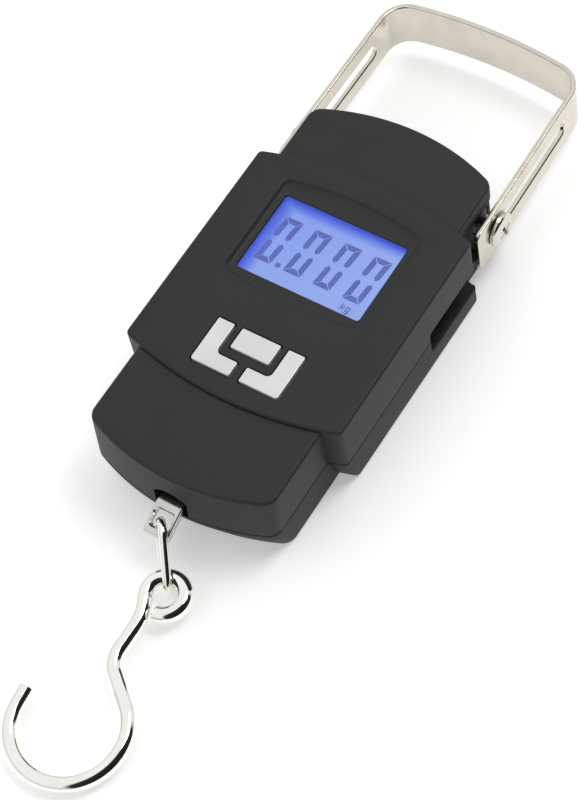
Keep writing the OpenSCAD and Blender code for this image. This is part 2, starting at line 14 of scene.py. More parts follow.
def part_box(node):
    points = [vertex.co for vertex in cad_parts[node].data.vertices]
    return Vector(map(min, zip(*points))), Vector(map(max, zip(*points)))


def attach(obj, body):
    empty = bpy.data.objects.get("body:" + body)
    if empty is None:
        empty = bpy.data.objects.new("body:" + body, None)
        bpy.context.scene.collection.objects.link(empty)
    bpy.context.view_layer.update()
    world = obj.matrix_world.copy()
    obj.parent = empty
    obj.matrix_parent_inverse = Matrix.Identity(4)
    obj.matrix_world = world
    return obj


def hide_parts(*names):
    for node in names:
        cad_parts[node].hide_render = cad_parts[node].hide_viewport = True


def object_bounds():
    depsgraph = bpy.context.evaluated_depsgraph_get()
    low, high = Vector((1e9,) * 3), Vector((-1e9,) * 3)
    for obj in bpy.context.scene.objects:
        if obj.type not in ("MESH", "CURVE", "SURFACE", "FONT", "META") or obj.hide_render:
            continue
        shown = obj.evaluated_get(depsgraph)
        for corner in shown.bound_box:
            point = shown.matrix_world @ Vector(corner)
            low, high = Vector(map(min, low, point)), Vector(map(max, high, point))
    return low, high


MM = 0.001
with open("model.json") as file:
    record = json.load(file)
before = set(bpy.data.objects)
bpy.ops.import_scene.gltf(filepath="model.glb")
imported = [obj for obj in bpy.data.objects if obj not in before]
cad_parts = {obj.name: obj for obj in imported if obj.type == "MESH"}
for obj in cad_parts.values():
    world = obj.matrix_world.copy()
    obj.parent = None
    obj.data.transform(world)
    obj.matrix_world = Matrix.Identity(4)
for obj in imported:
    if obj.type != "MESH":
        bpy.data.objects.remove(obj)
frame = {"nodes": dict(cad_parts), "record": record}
cad_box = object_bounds()


def box_mm(node):
    """The lowest and highest corners of a CAD node, in millimetres."""
    low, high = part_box(node)
    return low / MM, high / MM


# ---------- sizes, from the frame and the case's own profile ----------

front_low, front_high = box_mm("front_cover")
rear_low, rear_high = box_mm("rear_cover")
window_low, window_high = box_mm("display_window")
digits_low, digits_high = box_mm("lcd_digits")
door_low, door_high = box_mm("battery_cover")
screw_low, screw_high = box_mm("handle_screw_right")
handle_low, handle_high = box_mm("handle")
bracket_low, bracket_high = box_mm("hook_bracket")
key_low, key_high = box_mm("key_left")

MID_X = front_high.x
MID_Z = front_high.z
STEP_H = 1.1
END_X = 28.5
END_Z = MID_Z - STEP_H
SPLIT_Z = front_low.z
REAR_Z = rear_high.z
LOW_SPLIT = front_low.y
TOP_END = front_high.y
LOW_R = 67.6
TOP_R = 67.6
MID_R = 108
MID_LOW = -35.5
MID_TOP = 41.3
FRONT_TILT = math.radians(5)
BACK_TILT = math.radians(24)
STEP_TILT = math.radians(20)
SLOPE_Z = SPLIT_Z - 1.5
END_CORNER = 4.2
MID_CORNER = 1.6
FACE_ROUND = 0.9
BACK_ROUND = 1.3
SPLIT_CHAMFER = 0.22
WALL = 2.2
# how finely edges, corners and arches are divided
ROUND_STEPS = 6
CORNER_STEPS = 8
ARCH_STEPS = 48
CAVITY_X = 24.5
CASE_SCREWS = [(x, y) for x in (-19.5, 19.5) for y in (-47, 41)]
# the gap around a part that drops into a recess of the case
FIT = 0.3

LOAD_Z = (screw_low.z + screw_high.z) / 2
SCREW_Y = (screw_low.y + screw_high.y) / 2


# ---------- mesh helpers ----------

def mesh_object(name, points, faces):
    """An object from points in millimetres, with smooth faces that break at edges over 32 degrees."""
    mesh = bpy.data.meshes.new(name)
    mesh.from_pydata([Vector(p) * MM for p in points], [], faces)
    mesh.validate()
    piece = bpy.data.objects.new(name, mesh)
    bpy.context.scene.collection.objects.link(piece)
    smooth(piece)
    return piece


def smooth(piece, angle=32):
    for polygon in piece.data.polygons:
        polygon.use_smooth = True
    piece.data.set_sharp_from_angle(angle=math.radians(angle))


def loft_parts(rings, closed=False):
    """Points and faces of a surface through rings of equal length, capped unless it is closed."""
    count = len(rings[0])
    points = [p for ring in rings for p in ring]
    faces = []
    spans = len(rings) if closed else len(rings) - 1
    for i in range(spans):
        here = i * count
        there = ((i + 1) % len(rings)) * count
        for j in range(count):
            k = (j + 1) % count
            faces.append((here + j, here + k, there + k, there + j))
    if not closed:
        faces.append(tuple(reversed(range(count))))
        faces.append(tuple(range(len(points) - count, len(points))))
    return points, faces


def loft(name, rings, closed=False):
    return mesh_object(name, *loft_parts(rings, closed))


def join_parts(parts):
    """One list of points and one of faces from several lofts."""
    points = []
    faces = []
    for more_points, more_faces in parts:
        start = len(points)
        points += more_points
        faces += [tuple(start + i for i in face) for face in more_faces]
    return points, faces


def apply_modifiers(piece):
    graph = bpy.context.evaluated_depsgraph_get()
    mesh = bpy.data.meshes.new_from_object(piece.evaluated_get(graph))
    piece.modifiers.clear()
    piece.data = mesh


def circle(centre, radius, count=32):
    """A circle's outline, counter-clockwise."""
    return arc(centre, radius, 0, 2 * math.pi, count)[:-1]


def combine(piece, tool, operation):
    """Cuts the tool from the piece, or adds it, and deletes the tool."""
    modifier = piece.modifiers.new(operation, "BOOLEAN")
    modifier.operation = operation
    modifier.solver = "EXACT"
    modifier.object = tool
    apply_modifiers(piece)
    bpy.data.objects.remove(tool)


def cut(piece, tool):
    combine(piece, tool, "DIFFERENCE")


def add(piece, tool):
    combine(piece, tool, "UNION")


def settle(piece, body, slot, material, *replaced):
    """Gives a piece its body and material, and hides the CAD nodes that it stands for. The slot is not
    used.
    """
    piece.data.materials.clear()
    piece.data.materials.append(material)
    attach(piece, body)
    if replaced:
        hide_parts(*replaced)
    return piece


def arc(centre, radius, start, end, count):
    """Points on an arc in a plane, with angles in radians."""
    step = (end - start) / count
    return [(centre[0] + radius * math.cos(start + i * step),
             centre[1] + radius * math.sin(start + i * step)) for i in range(count + 1)]


def rounded(corners, radius, count=6):
    """A polygon's outline with each corner rounded, inside and outside corners alike.

    The radius is one number, or a list with one for each corner.
    """
    radii = radius if isinstance(radius, (list, tuple)) else [radius] * len(corners)
    points = []
    for i, corner in enumerate(corners):
        here = Vector(corner)
        before = (Vector(corners[i - 1]) - here).normalized()
        after = (Vector(corners[(i + 1) % len(corners)]) - here).normalized()
        half = before.angle(after) / 2
        reach = radii[i] / math.tan(half)
        centre = here + (before + after).normalized() * (radii[i] / math.sin(half))
        first = here + before * reach - centre
        last = here + after * reach - centre
        turn = first.angle_signed(last)
        for j in range(count + 1):
            spin = Matrix.Rotation(-turn * j / count, 2)
            points.append(tuple(centre + spin @ first))
    return points


def grown(outline, distance):
    """An outline moved outwards along its own normals. It runs counter-clockwise."""
    result = []
    count = len(outline)
    for i in range(count):
        before = Vector(outline[i - 1])
        after = Vector(outline[(i + 1) % count])
        along = (after - before).normalized()
        result.append((outline[i][0] + along.y * distance, outline[i][1] - along.x * distance))
    return result


def at_height(outline, z):
    return [(x, y, z) for x, y in outline]


def rectangle(low, high):
    return [(low[0], low[1]), (high[0], low[1]), (high[0], high[1]), (low[0], high[1])]


def prism(name, outline, steps):
    """A solid on an outline: each step is a height and the distance that the outline grows by."""
    return loft(name, [at_height(grown(outline, grow), z) for z, grow in steps])


def block(name, low, high):
    return loft(name, [at_height(rectangle(low, high), z) for z in (low[2], high[2])])


def sideways(outline, levels, side=1):
    """Rings of a solid whose outline lies in Y and Z: each level is an x and a growth."""
    rings = []
    for x, grow in levels:
        rings.append([(side * x, y, z) for y, z in grown(outline, grow)])
    return rings if side > 0 else rings[::-1]


# ---------- outlines of the case ----------

def arched_outline(half, low, low_r, top, top_r, corner, inset=0.0):
    """A block with straight sides, arched ends and rounded corners, drawn in by an inset."""
    low_centre = low + low_r
    top_centre = top - top_r
    fillet = max(corner - inset, 0.05)
    fillet_x = half - corner
    fillet_low = low_centre - math.sqrt((low_r - corner) ** 2 - fillet_x ** 2)
    fillet_top = top_centre + math.sqrt((top_r - corner) ** 2 - fillet_x ** 2)
    low_angle = math.atan2(fillet_low - low_centre, fillet_x)
    top_angle = math.atan2(fillet_top - top_centre, fillet_x)
    turn = math.pi
    outline = arc((fillet_x, fillet_low), fillet, low_angle, 0, CORNER_STEPS)
    outline += arc((fillet_x, fillet_top), fillet, 0, top_angle, CORNER_STEPS)
    outline += arc((0, top_centre), top_r - inset, top_angle, turn - top_angle, ARCH_STEPS)[1:-1]
    outline += arc((-fillet_x, fillet_top), fillet, turn - top_angle, turn, CORNER_STEPS)
    outline += arc((-fillet_x, fillet_low), fillet, turn, turn - low_angle, CORNER_STEPS)
    outline += arc((0, low_centre), low_r - inset, turn - low_angle, 2 * turn + low_angle,
                   ARCH_STEPS)[1:-1]
    return outline


def end_outline(low, inset=0.0):
    return arched_outline(END_X, low, LOW_R, TOP_END, TOP_R, END_CORNER, inset)


def mid_outline(low, inset=0.0):
    return arched_outline(MID_X, low, MID_R, MID_TOP, MID_R, MID_CORNER, inset)


def front_profile(top, radius):
    """Heights and insets up a front shell: the split line's chamfer, the wall, the rounded edge."""
    steps = [(SPLIT_Z, SPLIT_CHAMFER), (SPLIT_Z + SPLIT_CHAMFER, 0.0)]
    for i in range(ROUND_STEPS + 1):
        a = math.radians(90 * i / ROUND_STEPS)
        steps.append((top - radius + radius * math.sin(a), radius * (1 - math.cos(a))))
    return steps


def rear_profile(radius):
    steps = []
    for i in range(ROUND_STEPS + 1):
        a = math.radians(90 * i / ROUND_STEPS)
        steps.append((radius * (1 - math.cos(a)), radius * (1 - math.sin(a))))
    return steps + [(SLOPE_Z, 0.0), (REAR_Z - SPLIT_CHAMFER, 0.0), (REAR_Z, SPLIT_CHAMFER)]


def front_low_edge(z):
    return LOW_SPLIT + (z - SPLIT_Z) * math.tan(FRONT_TILT)


def rear_low_edge(z):
    return LOW_SPLIT + max(SLOPE_Z - z, 0) * math.tan(BACK_TILT)


def step_low_edge(z):
    return MID_LOW + max(SLOPE_Z - z, 0) * math.tan(STEP_TILT)


# ---------- case ----------

# the arms' channels, whose walls the covers share
POCKET_X = (27, 32.3)
POCKET_Y = 7.5
STRIP_W = handle_high.z - handle_low.z
POCKET_Z = (LOAD_Z - STRIP_W / 2 - 0.25, LOAD_Z + STRIP_W / 2 + 0.25)
LIP_Y = 12.7
LIP_Z = (7.0, 15.2)
FLANK_X = 26.3
SPOOL_R = 4.3


def cut_channels(piece):
    """Cuts the arms' pockets, the openings beside them and the flanks of the upper end."""
    parts = []
    for side in (-1, 1):
        pocket = rounded(rectangle((POCKET_Y, POCKET_Z[0]), (MID_TOP + 2, POCKET_Z[1])), 0.4, 3)
        parts.append(loft_parts(sideways(pocket, [(POCKET_X[0], 0), (POCKET_X[1], 0)], side)))
    cut(piece, mesh_object("pockets", *join_parts(parts)))
    parts = []
    for side in (-1, 1):
        lip = rounded(rectangle((LIP_Y, LIP_Z[0]), (MID_TOP + 2, LIP_Z[1])), 0.9, 5)
        flare = [(POCKET_X[0] + 1, 0), (MID_X - 0.35, 0), (MID_X + 0.35, 0.7)]
        parts.append(loft_parts(sideways(lip, flare, side)))
    cut(piece, mesh_object("lips", *join_parts(parts)))
    parts = []
    for side in (-1, 1):
        flank = rounded(rectangle((MID_TOP - 5.2, POCKET_Z[0]), (TOP_END + 3, POCKET_Z[1])), 0.3, 3)
        parts.append(loft_parts(sideways(flank, [(FLANK_X, 0), (MID_X + 2, 0)], side)))
        spool = circle((SCREW_Y, LOAD_Z), SPOOL_R)
        parts.append(loft_parts(sideways(spool, [(FLANK_X - 3, 0), (FLANK_X + 1, 0)], side)))
    cut(piece, mesh_object("flanks", *join_parts(parts[::2])))
    cut(piece, mesh_object("spools", *join_parts(parts[1::2])))


# the dished bezel around the display, from its rim down to the window's opening
BEZEL_X = 21.9
BEZEL_LOW = -3.4
BEZEL_TOP = 33.6
BEZEL_R = 95
BEZEL_CORNER = 2.6
PANE_MARGIN = 1.55
WINDOW_X = window_high.x - PANE_MARGIN
WINDOW_Y = (window_low.y + window_high.y) / 2
WINDOW_HALF_Y = (window_high.y - window_low.y) / 2 - PANE_MARGIN
WINDOW_CORNER = 0.9
DISH_DEPTH = 1.15
# the dish's slope: shares of the way from rim to window, and the depth reached there
DISH_SLOPE = [(0.62, 0.94), (0.34, 0.84), (0.12, 0.62)]
# the rim's rounding: how far it is drawn in, and how deep below the face
DISH_RIM = [(0.5, 0.5), (0.3, 0.34), (0.1, 0.17), (-0.12, 0.05), (-0.35, -0.01), (-0.4, -1)]


def window_outline(half_x, half_y, corner):
    """A rectangle with as many points as an arched outline, in the same order."""
    y_low = WINDOW_Y - half_y
    y_top = WINDOW_Y + half_y
    x = half_x - corner
    turn = math.pi
    steps = range(1, ARCH_STEPS)
    outline = arc((x, y_low + corner), corner, -turn / 2, 0, CORNER_STEPS)
    outline += arc((x, y_top - corner), corner, 0, turn / 2, CORNER_STEPS)
    outline += [(x - 2 * x * i / ARCH_STEPS, y_top) for i in steps]
    outline += arc((-x, y_top - corner), corner, turn / 2, turn, CORNER_STEPS)
    outline += arc((-x, y_low + corner), corner, turn, 3 * turn / 2, CORNER_STEPS)
    outline += [(-x + 2 * x * i / ARCH_STEPS, y_low) for i in steps]
    return outline


def cut_display(piece):
    """Cuts the bezel's dish and the window through it."""
    def rim(inset):
        return arched_outline(BEZEL_X, BEZEL_LOW, BEZEL_R, BEZEL_TOP, BEZEL_R, BEZEL_CORNER, inset)
    frame_outline = window_outline(WINDOW_X + 0.5, WINDOW_HALF_Y + 0.5, WINDOW_CORNER + 0.5)
    rings = [at_height(frame_outline, MID_Z - DISH_DEPTH)]
    for share, depth in DISH_SLOPE:
        mixed = []
        for edge, inner in zip(rim(0.5), frame_outline):
            mixed.append((inner[0] + (edge[0] - inner[0]) * (1 - share),
                          inner[1] + (edge[1] - inner[1]) * (1 - share), MID_Z - DISH_DEPTH * depth))
        rings.append(mixed)
    for inset, depth in DISH_RIM:
        rings.append(at_height(rim(inset), MID_Z - depth))
    cut(piece, loft("dish", rings))
    opening = window_outline(WINDOW_X, WINDOW_HALF_Y, WINDOW_CORNER)
    steps = [(window_low.z - 4, 0), (MID_Z - 1.4, 0), (MID_Z - 0.9, 0.5)]
    cut(piece, prism("opening", opening, steps))
    seat = window_outline(window_high.x + 0.15, WINDOW_HALF_Y + 1.7, WINDOW_CORNER)
    cut(piece, prism("seat", seat, [(window_low.z - 4, 0), (window_high.z + 0.05, 0)]))


# keys: the left key's elbow outline, mirrored for the right one, and the centre key
KEY_X = -key_low.x - 0.9
KEY_LIMB = 5.1
KEY_ARM = 4.6
KEY_LOW = -29.1
KEY_TOP = -14.9
KEY_INNER_X = 1.5
KEY_GAP = 0.48
KEY_ROUND = 0.28
CENTRE_X = 6
CENTRE_LOW = -21.4
KEY_WELL_Z = 20


def elbow_outline(side):
    corners = [(-KEY_X, KEY_LOW), (-KEY_INNER_X, KEY_LOW), (-KEY_INNER_X, KEY_LOW + KEY_ARM),
               (-KEY_X + KEY_LIMB, KEY_LOW + KEY_ARM), (-KEY_X + KEY_LIMB, KEY_TOP),
               (-KEY_X, KEY_TOP)]
    radii = [0.8, 0.45, 0.45, 1.6, 0.45, 0.45]
    outline = rounded(corners, radii)
    return outline if side < 0 else [(-x, y) for x, y in outline[::-1]]


def centre_outline():
    return rounded(rectangle((-CENTRE_X, CENTRE_LOW), (CENTRE_X, KEY_TOP)), 0.45)


def key_outlines():
    return {"key_left": elbow_outline(-1), "key_centre": centre_outline(),
            "key_right": elbow_outline(1)}


def cut_key_wells(piece):
    for outline in key_outlines().values():
        flare = [(KEY_WELL_Z, KEY_GAP), (MID_Z - 0.06, KEY_GAP), (MID_Z + 0.2, KEY_GAP + 0.26)]
        cut(piece, prism("well", outline, flare))


# opening in the lower end wall for the bracket, arched at its top
NOTCH_X = 4.9
NOTCH_TOP = LOAD_Z + 5.8
NOTCH_R = 6.97
NOTCH_RISE = 2.1


def cut_notch(piece):
    start = math.asin((NOTCH_R - NOTCH_RISE) / NOTCH_R)
    top = arc((0, NOTCH_TOP - NOTCH_R), NOTCH_R, start, math.pi - start, 16)
    outline = [(-NOTCH_X, SPLIT_Z - 1), (NOTCH_X, SPLIT_Z - 1)] + top
    rings = []
    for y, grow in ((-52, 0), (LOW_SPLIT + 1.1, 0), (LOW_SPLIT - 1.5, 0.9)):
        rings.append([(x, y, z) for x, z in grown(outline, grow)])
    cut(piece, loft("notch", rings))


def tube_parts(centre, radius, hole, z_low, z_high):
    """A boss with a hole, as points and faces of one closed solid."""
    outer = circle(centre, radius)
    inner = circle(centre, hole)
    return loft_parts([at_height(outer, z_low), at_height(outer, z_high),
                       at_height(inner, z_high), at_height(inner, z_low)], closed=True)


def cavity(low, inset):
    """The end outline drawn in by a wall, with its sides drawn in to the cavity's width."""
    return arched_outline(CAVITY_X, low + WALL, LOW_R - WALL, TOP_END - WALL, TOP_R - WALL,
                          2.0, inset)


BOSS_R = 3.3
BOSS_HOLE = 1.35


def front_cover():
    shell = loft("front_shell", [at_height(end_outline(front_low_edge(z), inset), z)
                                 for z, inset in front_profile(END_Z, FACE_ROUND)])
    middle = loft("middle", [at_height(mid_outline(MID_LOW, inset), z)
                             for z, inset in front_profile(MID_Z, FACE_ROUND)])
    add(shell, middle)
    hollow = [(SPLIT_Z - 1, 0), (END_Z - WALL - 0.6, 0), (END_Z - WALL, 0.6)]
    cut(shell, loft("hollow", [at_height(cavity(front_low_edge(z), inset), z)
                               for z, inset in hollow]))
    cut_channels(shell)
    cut_display(shell)
    cut_key_wells(shell)
    cut_notch(shell)
    bosses = [tube_parts(place, BOSS_R, BOSS_HOLE, SPLIT_Z + 0.1, END_Z - WALL + 0.3)
              for place in CASE_SCREWS]
    add(shell, mesh_object("bosses", *join_parts(bosses)))
    smooth(shell)
    return shell


BAY_X = 11.4
BAY_Y = 28.1
BAY_WALL = 0.5
# the screws' bores, and the towers around them
BORE_R = 2.9
TOWER_R = 3.6
SEAT_Z = 4.6
LABEL_LOW = (-15, -50)
LABEL_HIGH = (15, -37)


def rear_cover():
    shell = loft("rear_shell", [at_height(end_outline(rear_low_edge(z), inset), z)
                                for z, inset in rear_profile(BACK_ROUND)])
    middle = loft("rear_middle", [at_height(mid_outline(step_low_edge(z), inset), z)
                                  for z, inset in rear_profile(BACK_ROUND)])
    add(shell, middle)
    hollow = [(WALL, 0.6), (WALL + 0.6, 0), (SLOPE_Z, 0), (REAR_Z + 1, 0)]
    cut(shell, loft("rear_hollow", [at_height(cavity(rear_low_edge(z), inset), z)
                                    for z, inset in hollow]))
    cut_channels(shell)
    opening = rounded(rectangle((door_low.x - FIT, door_low.y - FIT),
                                (door_high.x + FIT, door_high.y + FIT)), 1.5)
    cut(shell, prism("door_opening", opening, [(-1.2, 1.5), (0.3, 0), (WALL + 1, 0)]))
    label = rounded(rectangle((LABEL_LOW[0] - FIT, LABEL_LOW[1] - FIT),
                              (LABEL_HIGH[0] + FIT, LABEL_HIGH[1] + FIT)), 1)
    cut(shell, prism("label_recess", label, [(-1, 0), (0.2, 0)]))
    bores = [loft_parts([at_height(circle(place, r), z) for r, z in
                         ((BORE_R + 0.7, -0.7), (BORE_R, 0.25), (BORE_R, WALL + 1))])
             for place in CASE_SCREWS]
    cut(shell, mesh_object("bores", *join_parts(bores)))
    for place in CASE_SCREWS:
        tower = tube_parts(place, TOWER_R, BORE_R - 0.15, WALL - 0.4, SEAT_Z)
        seat = tube_parts(place, TOWER_R - 0.1, 1.6, SEAT_Z, REAR_Z)
        add(shell, mesh_object("tower", *tower))
        add(shell, mesh_object("seat", *seat))
    for side in (-1, 1):
        add(shell, block("bay_wall", (side * BAY_X - BAY_WALL, -BAY_Y - 0.6, WALL - 1),
                         (side * BAY_X + BAY_WALL, BAY_Y + 0.6, REAR_Z)))
    smooth(shell)
    return shell


GROOVES = 5


def battery_cover():
    thick = door_high.z - door_low.z
    plate = rounded(rectangle(door_low, door_high), 1.3)
    edge = 0.35
    door = prism("battery_door", plate, [(door_low.z, -edge), (door_low.z + edge * 0.3, -edge * 0.3),
                                         (door_low.z + edge, 0), (door_high.z - 0.2, 0),
                                         (door_high.z, -0.2)])
    grips = []
    for i in range(GROOVES):
        y = door_low.y + 4.5 + 2 * i
        half = 8 - 0.5 * abs(i - 2)
        groove = rounded(rectangle((-half, y - 0.5), (half, y + 0.5)), 0.45, 4)
        grips.append(loft_parts([at_height(grown(groove, grow), z) for z, grow in
                                 ((door_low.z - 0.5, 0.25), (door_low.z + 0.05, 0.05),
                                  (door_low.z + thick / 3, -0.3))]))
    cut(door, mesh_object("grips", *join_parts(grips)))
    return door


# ---------- keys and display ----------

def key(name, outline):
    top = key_high.z
    steps = [(key_low.z, 0)]
    for i in range(ROUND_STEPS):
        a = math.radians(90 * i / (ROUND_STEPS - 1))
        steps.append((top - KEY_ROUND + KEY_ROUND * math.sin(a), -KEY_ROUND * (1 - math.cos(a))))
    return prism(name + "_cap", outline, steps)


DIGIT_H = 15.2
DIGIT_W = 5.3
DIGIT_PITCH = 9.3
DIGIT_X = digits_low.x
DIGIT_Y = 6.75
STROKE = 1.6
SEGMENT_GAP = 0.18
MID_GAP = 0.7
POINT_X = 6.6
POINT_SIZE = 1.4
UNIT_X = 29.1
UNIT_DROP = 3.5
UNIT_SIZE = 0.8
SLANT = math.tan(math.radians(5))


def slanted(outline, x, y):
    return [(x + px + SLANT * (py - DIGIT_H / 2), y + py) for px, py in outline]


def zero_segments():
    """The six lit bars of a zero, each with mitred ends."""
    w = DIGIT_W
    h = DIGIT_H
    s = STROKE
    g = SEGMENT_GAP
    half = h / 2
    bottom = [(g, 0), (w - g, 0), (w - s - g, s), (s + g, s)]
    tip = half - MID_GAP
    low_left = [(0, g), (s, s + g), (s, tip - s / 2), (s / 2, tip), (0, tip - s / 2)]
    bars = [bottom, low_left]
    bars.append([(w - x, y) for x, y in low_left[::-1]])
    bars += [[(x, h - y) for x, y in bar[::-1]] for bar in bars]
    return bars


def unit_strokes():
    """The letters k and g of the unit as straight strokes."""
    boxes = [(0, 0, 0.4, 2.6), (0.4, 0.9, 0.9, 1.3), (0.9, 0, 1.3, 0.9), (0.9, 1.3, 1.3, 2.1),
             (2, 0, 2.4, 2), (2.4, 1.6, 3.1, 2), (2.4, 0, 3.1, 0.4), (3.1, -0.9, 3.5, 2),
             (2, -0.9, 3.1, -0.5)]
    return [rectangle([v * UNIT_SIZE for v in b[:2]], [v * UNIT_SIZE for v in b[2:]])
            for b in boxes]


def lcd_digits():
    bars = []
    for i in range(4):
        bars += [slanted(bar, DIGIT_X + i * DIGIT_PITCH, DIGIT_Y) for bar in zero_segments()]
    point = rectangle((0, 0), (POINT_SIZE, POINT_SIZE))
    bars.append(slanted(point, DIGIT_X + POINT_X, DIGIT_Y))
    bars += [slanted(stroke, DIGIT_X + UNIT_X, DIGIT_Y - UNIT_DROP) for stroke in unit_strokes()]
    parts = [loft_parts([at_height(bar, z) for z in (digits_low.z, digits_high.z)]) for bar in bars]
    return mesh_object("lit_digits", *join_parts(parts))


def window_pane():
    outline = window_outline(window_high.x, WINDOW_HALF_Y + PANE_MARGIN, WINDOW_CORNER)
    return prism("window_pane", outline, [(window_low.z, -0.1), (window_low.z + 0.1, 0),
                                          (window_high.z - 0.12, 0), (window_high.z, -0.12)])


# ---------- handle ----------

STRIP_T = 1.5
ARM_LEAN = math.radians(0.8)
ARM_X = 31
ARM_LOW = 41
BAR_R = 150
BAR_Y = 104 - BAR_R
CORNER_R = 8
SLOT_W = 5
SLOT_L = 40.5
STRIP_EDGE = 0.4
SLOT_CHAMFER = 0.28
ARM_END_R = 2.4
# how finely the arms and the bar, and the corners between them, are divided
STRIP_STEPS = 24
BEND_STEPS = 12


def handle_line():
    """The strip's middle from the right arm's end round to the left one's.

    Each entry is a point, the direction outwards, and how much narrower the strip is there.
    """
    u = Vector((-math.sin(ARM_LEAN), math.cos(ARM_LEAN)))
    n = Vector((-math.cos(ARM_LEAN), -math.sin(ARM_LEAN)))
    start = Vector((ARM_X, SCREW_Y))
    q = start + CORNER_R * n - Vector((0, BAR_Y))
    b = q.dot(u)
    reach = -b + math.sqrt(b * b - q.length_squared + (BAR_R - CORNER_R) ** 2)
    corner = start + reach * u + CORNER_R * n
    meet = math.atan2(corner.y - BAR_Y, corner.x)
    line = []
    low = start + u * (ARM_LOW - SCREW_Y)
    arm_l = reach + SCREW_Y - ARM_LOW
    end_steps = [ARM_END_R * (1 - math.cos(math.radians(15 * i))) for i in range(6)]
    arm_steps = [ARM_END_R + (arm_l - ARM_END_R) * i / STRIP_STEPS for i in range(STRIP_STEPS + 1)]
    for s in end_steps + arm_steps:
        rise = ARM_END_R - s
        shrink = ARM_END_R - math.sqrt(max(ARM_END_R ** 2 - rise ** 2, 0)) if rise > 0 else 0
        line.append((low + s * u, -n, shrink))
    for i in range(1, BEND_STEPS + 1):
        a = ARM_LEAN + (meet - ARM_LEAN) * i / BEND_STEPS
        out = Vector((math.cos(a), math.sin(a)))
        line.append((corner + CORNER_R * out, out, 0))
    for i in range(1, STRIP_STEPS + 1):
        a = meet + (math.pi / 2 - meet) * i / STRIP_STEPS
        out = Vector((math.cos(a), math.sin(a)))
        line.append((Vector((0, BAR_Y)) + BAR_R * out, out, 0))
    mirrored = [(Vector((-p.x, p.y)), Vector((-out.x, out.y)), shrink)
                for p, out, shrink in line[-2::-1]]
    return line + mirrored


def strip_section(shrink):
    """The strip's cross-section: across its thickness, then across its width."""
    half_w = STRIP_W / 2 - shrink
    half_t = STRIP_T / 2
    edge = min(STRIP_EDGE, half_w * 0.9)
    return rounded(rectangle((-half_t, -half_w), (half_t, half_w)), edge, 4)


def handle():
    rings = []
    for place, out, shrink in handle_line():
        ring = []
        for across, up in strip_section(shrink):
            point = place + out * across
            ring.append((point.x, point.y, LOAD_Z + up))
        rings.append(ring)
    strip = loft("strap_handle", rings)
    slot_low = SCREW_Y - SLOT_W / 2
    r = SLOT_W / 2
    slot = arc((slot_low + r, LOAD_Z), r, math.pi / 2, 3 * math.pi / 2, 16)
    slot += arc((slot_low + SLOT_L - r, LOAD_Z), r, -math.pi / 2, math.pi / 2, 16)
    half = STRIP_T / 2
    for side in (-1, 1):
        rings = []
        for depth, grow in ((-half - 0.4, SLOT_CHAMFER + 0.4), (-half + SLOT_CHAMFER, 0),
                            (half - SLOT_CHAMFER, 0), (half + 0.4, SLOT_CHAMFER + 0.4)):
            ring = []
            for y, z in grown(slot, grow):
                lean = (y - SCREW_Y) * math.tan(ARM_LEAN)
                ring.append((side * (ARM_X - lean + depth), y, z))
            rings.append(ring if side > 0 else ring[::-1])
        cut(strip, loft("slot", rings))
    smooth(strip, 30)
    return strip


HEAD_R = 5
HEAD_X = 32
HEAD_RIM = 0.75
SHANK_R = 2.2
THREAD_R = 1.7
CROSS_ARM = 2.5
CROSS_HALF = 0.55
CROSS_TURN = math.radians(20)


def turned(name, profile, side):
    """A turned solid on a screw's axis from pairs of x and radius, from the thread to the head."""
    rings = [[(side * x, y, z) for y, z in circle((SCREW_Y, LOAD_Z), radius, 48)]
             for x, radius in profile]
    return loft(name, rings if side > 0 else rings[::-1])


def handle_screw(side):
    """A pan head with a domed top and a cross recess, its shoulder and its thread."""
    top = screw_high.x
    profile = [(15, THREAD_R - 0.4), (15.4, THREAD_R), (26.2, THREAD_R), (26.4, SHANK_R),
               (HEAD_X, SHANK_R), (HEAD_X, HEAD_R - 0.25), (HEAD_X + 0.25, HEAD_R),
               (HEAD_X + HEAD_RIM, HEAD_R)]
    rise = top - HEAD_X - HEAD_RIM
    for i in range(1, 9):
        a = math.radians(10 * i)
        profile.append((HEAD_X + HEAD_RIM + rise * math.sin(a) ** 0.9,
                        HEAD_R * math.cos(a) ** 0.62))
    profile[-1] = (top, profile[-1][1])
    name = "arm_screw_" + ("right" if side > 0 else "left")
    screw = turned(name, profile, side)
    outline = []
    for i in range(4):
        quarter = Matrix.Rotation(CROSS_TURN + i * math.pi / 2, 2)
        for corner in ((CROSS_ARM, -CROSS_HALF), (CROSS_ARM, CROSS_HALF), (CROSS_HALF, CROSS_HALF)):
            outline.append(tuple(Vector((SCREW_Y, LOAD_Z)) + quarter @ Vector(corner)))
    levels = [(top - 1.2, -0.32), (top - 0.1, 0), (top + 0.4, 0.1)]
    cut(screw, loft("cross", sideways(outline, levels, side)))
    smooth(screw, 30)
    return screw


# ---------- bracket, link and hook ----------

BRACKET_X = (bracket_high.x - bracket_low.x) / 2
BRACKET_T = 2 * (bracket_high.z - LOAD_Z)
BEND_Y = -63.4
BEND = math.radians(24)
TAB_L = 7.4
TAB_ROOT = 1.2
# the plate's rounded edges, how far before its line the bend starts, and in how many parts
PLATE_EDGE = 0.5
BEND_LEAD = 0.9
BEND_PARTS = 6
EYE_X = 2.8
EYE_FLARE = 0.8
PIN_Y = -29
PIN_BORE = 2.05


def on_tab(x, y, z):
    """A point of the bracket's bent end from where it would lie before the bend."""
    return (x, BEND_Y + y * math.cos(BEND) - z * math.sin(BEND),
            LOAD_Z + y * math.sin(BEND) + z * math.cos(BEND))


